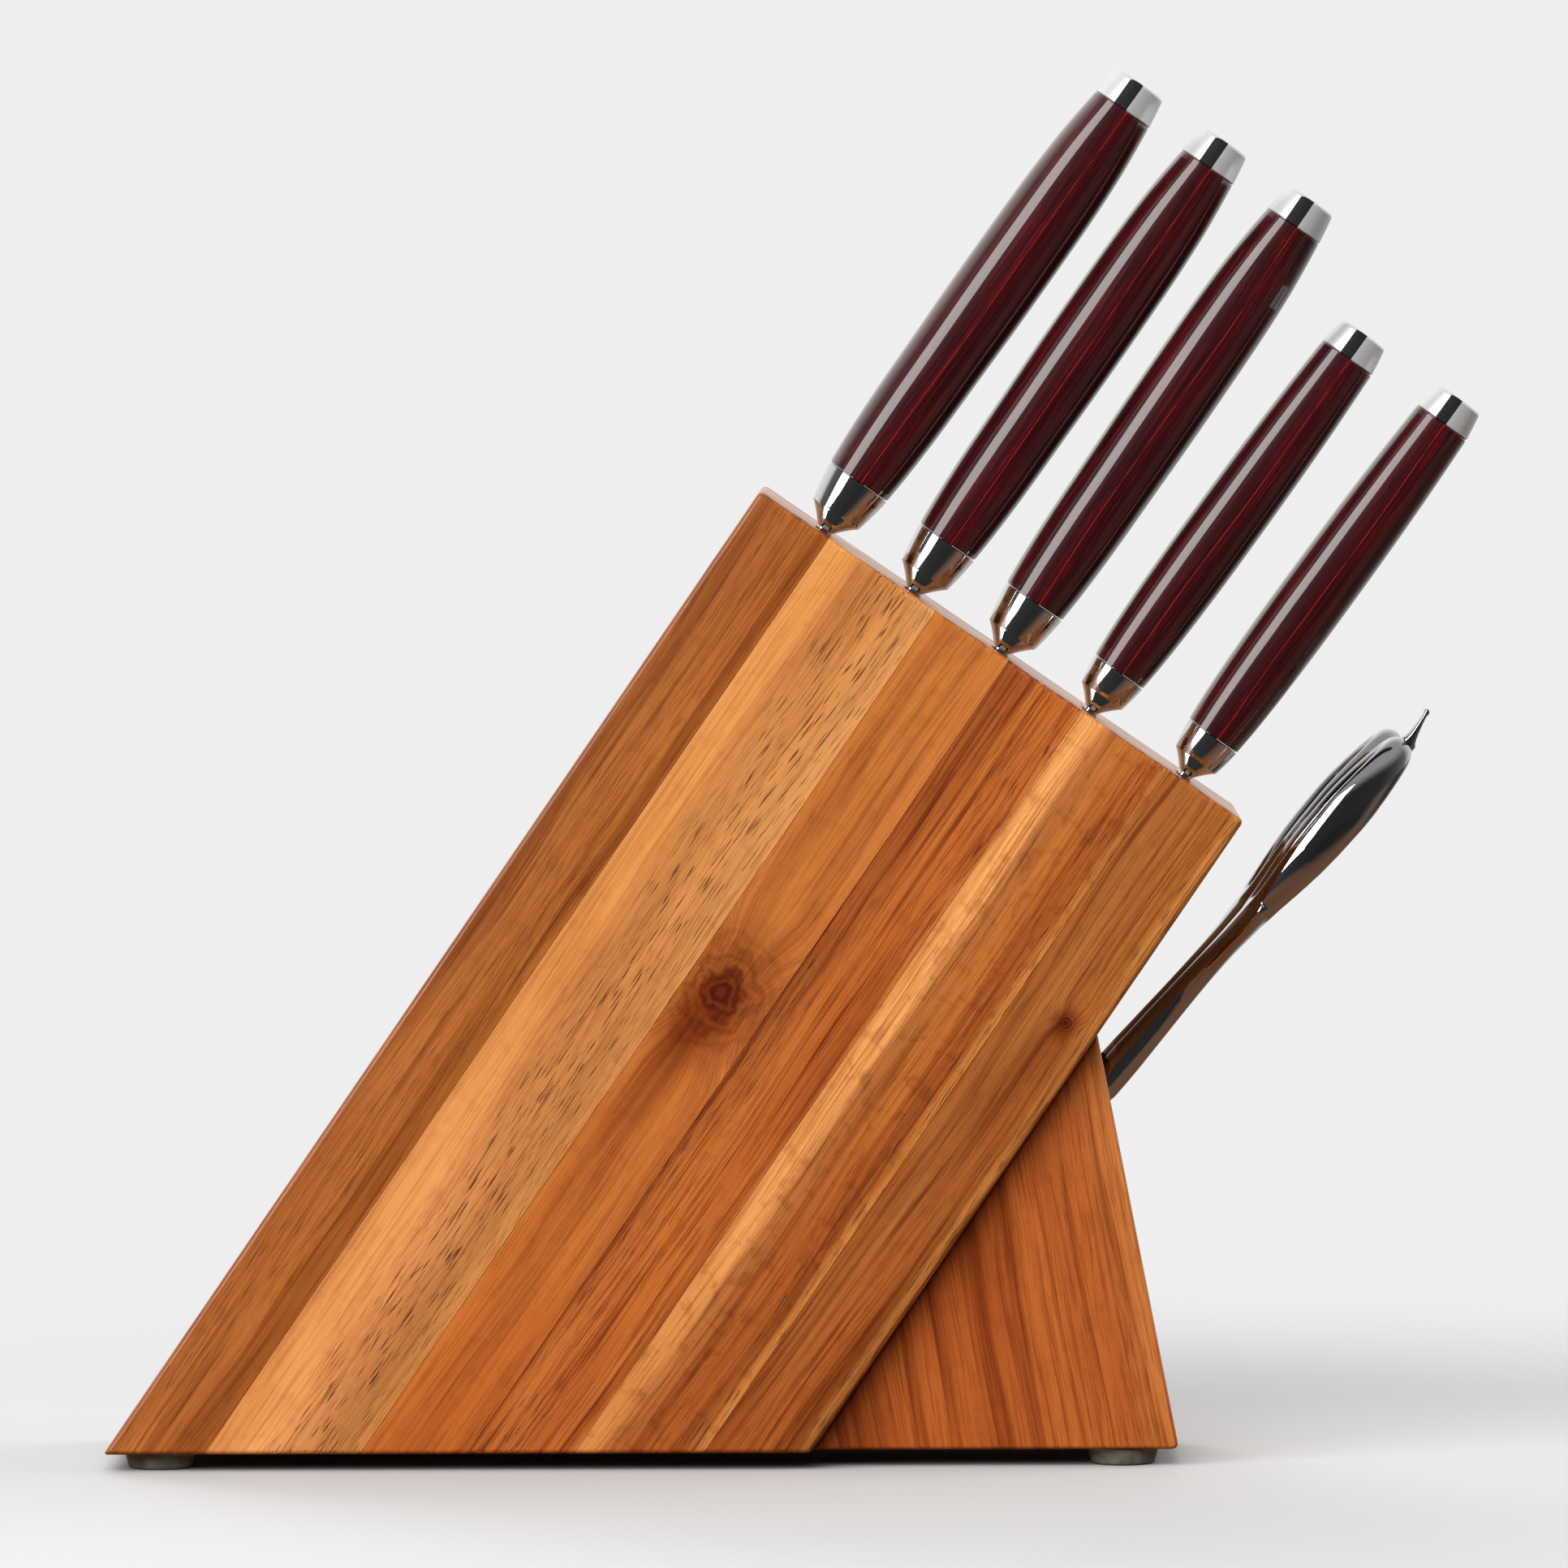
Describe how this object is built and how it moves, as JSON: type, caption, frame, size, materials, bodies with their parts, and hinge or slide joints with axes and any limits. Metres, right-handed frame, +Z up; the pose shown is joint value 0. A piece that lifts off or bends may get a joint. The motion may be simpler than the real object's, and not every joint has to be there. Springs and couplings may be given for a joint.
{
  "type": "knife block with knives",
  "caption": "Leaning wooden knife block on rubber feet, with kitchen knives that draw out of slots in its top and shears in a pocket of its rear wedge.",
  "frame": {"origin": "centre of the whole object's footprint box, on the surface it stands on", "axes": "+Z up; +X along the block from its front bottom edge to its wedge, the way the handles lean; the front panel faces -Y"},
  "size_m": [0.336, 0.08, 0.3404],
  "materials": {
    "acacia_panel": "satin varnish over striped acacia, staves from pale honey to red-brown",
    "core_wood": "satin varnish on top, bare in the slots",
    "wedge_wood": "satin varnish over orange-brown acacia",
    "clear_rubber": "clear, slightly green, smooth",
    "blade_steel": "fine satin",
    "bolster_steel": "mirror polish",
    "grip_wood": "dark red laminated wood, high gloss, fine lengthwise lines",
    "cap_steel": "fine satin",
    "cap_inlay": "matte black",
    "shears_steel": "mirror polish"
  },
  "bodies": {
    "block": {"front_stave_1": "acacia_panel", "front_stave_2": "acacia_panel", "front_stave_3": "acacia_panel", "front_stave_4": "acacia_panel", "front_stave_5": "acacia_panel", "front_stave_6": "acacia_panel", "back_stave_1": "acacia_panel", "back_stave_2": "acacia_panel", "back_stave_3": "acacia_panel", "back_stave_4": "acacia_panel", "back_stave_5": "acacia_panel", "back_stave_6": "acacia_panel", "core_slat_1": "core_wood", "core_slat_2": "core_wood", "core_slat_3": "core_wood", "core_slat_4": "core_wood", "core_slat_5": "core_wood", "core_slat_6": "core_wood", "core_strip_1": "core_wood", "core_strip_2": "core_wood", "core_strip_3": "core_wood", "core_strip_4": "core_wood", "core_strip_5": "core_wood", "wedge_front_cheek": "wedge_wood", "wedge_back_cheek": "wedge_wood", "wedge_core_lower": "wedge_wood", "wedge_core_upper": "wedge_wood", "foot_front_left": "clear_rubber", "foot_back_left": "clear_rubber", "foot_front_right": "clear_rubber", "foot_back_right": "clear_rubber"},
    "chef_knife": {"chef_knife_blade": "blade_steel", "chef_knife_bolster": "bolster_steel", "chef_knife_grip": "grip_wood", "chef_knife_cap": "cap_steel", "chef_knife_cap_inlay": "cap_inlay"},
    "bread_knife": {"bread_knife_blade": "blade_steel", "bread_knife_bolster": "bolster_steel", "bread_knife_grip": "grip_wood", "bread_knife_cap": "cap_steel", "bread_knife_cap_inlay": "cap_inlay"},
    "carving_knife": {"carving_knife_blade": "blade_steel", "carving_knife_bolster": "bolster_steel", "carving_knife_grip": "grip_wood", "carving_knife_cap": "cap_steel", "carving_knife_cap_inlay": "cap_inlay"},
    "utility_knife": {"utility_knife_blade": "blade_steel", "utility_knife_bolster": "bolster_steel", "utility_knife_grip": "grip_wood", "utility_knife_cap": "cap_steel", "utility_knife_cap_inlay": "cap_inlay"},
    "paring_knife": {"paring_knife_blade": "blade_steel", "paring_knife_bolster": "bolster_steel", "paring_knife_grip": "grip_wood", "paring_knife_cap": "cap_steel", "paring_knife_cap_inlay": "cap_inlay"},
    "shears_pivot": {"shears_pivot_screw": "shears_steel", "shears_pivot_nut": "shears_steel"},
    "shears_front_half": {"shears_front_half": "shears_steel"},
    "shears_back_half": {"shears_back_half": "shears_steel"}
  },
  "joints": [
    {"name": "chef_knife_draw", "type": "slide", "parent": "block", "child": "chef_knife", "axis": [0.5814, 0, 0.8136], "range_m": [0, 0.213]},
    {"name": "bread_knife_draw", "type": "slide", "parent": "block", "child": "bread_knife", "axis": [0.5736, 0, 0.8192], "range_m": [0, 0.235]},
    {"name": "carving_knife_draw", "type": "slide", "parent": "block", "child": "carving_knife", "axis": [0.57, 0, 0.8216], "range_m": [0, 0.213]},
    {"name": "utility_knife_draw", "type": "slide", "parent": "block", "child": "utility_knife", "axis": [0.5902, 0, 0.8073], "range_m": [0, 0.14]},
    {"name": "paring_knife_draw", "type": "slide", "parent": "block", "child": "paring_knife", "axis": [0.592, 0, 0.8059], "range_m": [0, 0.098]},
    {"name": "shears_draw", "type": "slide", "parent": "block", "child": "shears_pivot", "axis": [0.6567, 0, 0.7541], "range_m": [0, 0.1]},
    {"name": "shears_open", "type": "hinge", "parent": "shears_pivot", "child": "shears_front_half", "pos_m": [0.07013, 0, 0.08525], "axis": [0.7541, 0, -0.6567], "range_deg": [0, 14]},
    {"name": "shears_open_back", "type": "hinge", "parent": "shears_pivot", "child": "shears_back_half", "pos_m": [0.07013, 0, 0.08525], "axis": [0.7541, 0, -0.6567], "range_deg": [-14, 0]}
  ],
  "couplings": [
    {"joint": "shears_open_back", "follows": "shears_open", "ratio": -1}
  ]
}
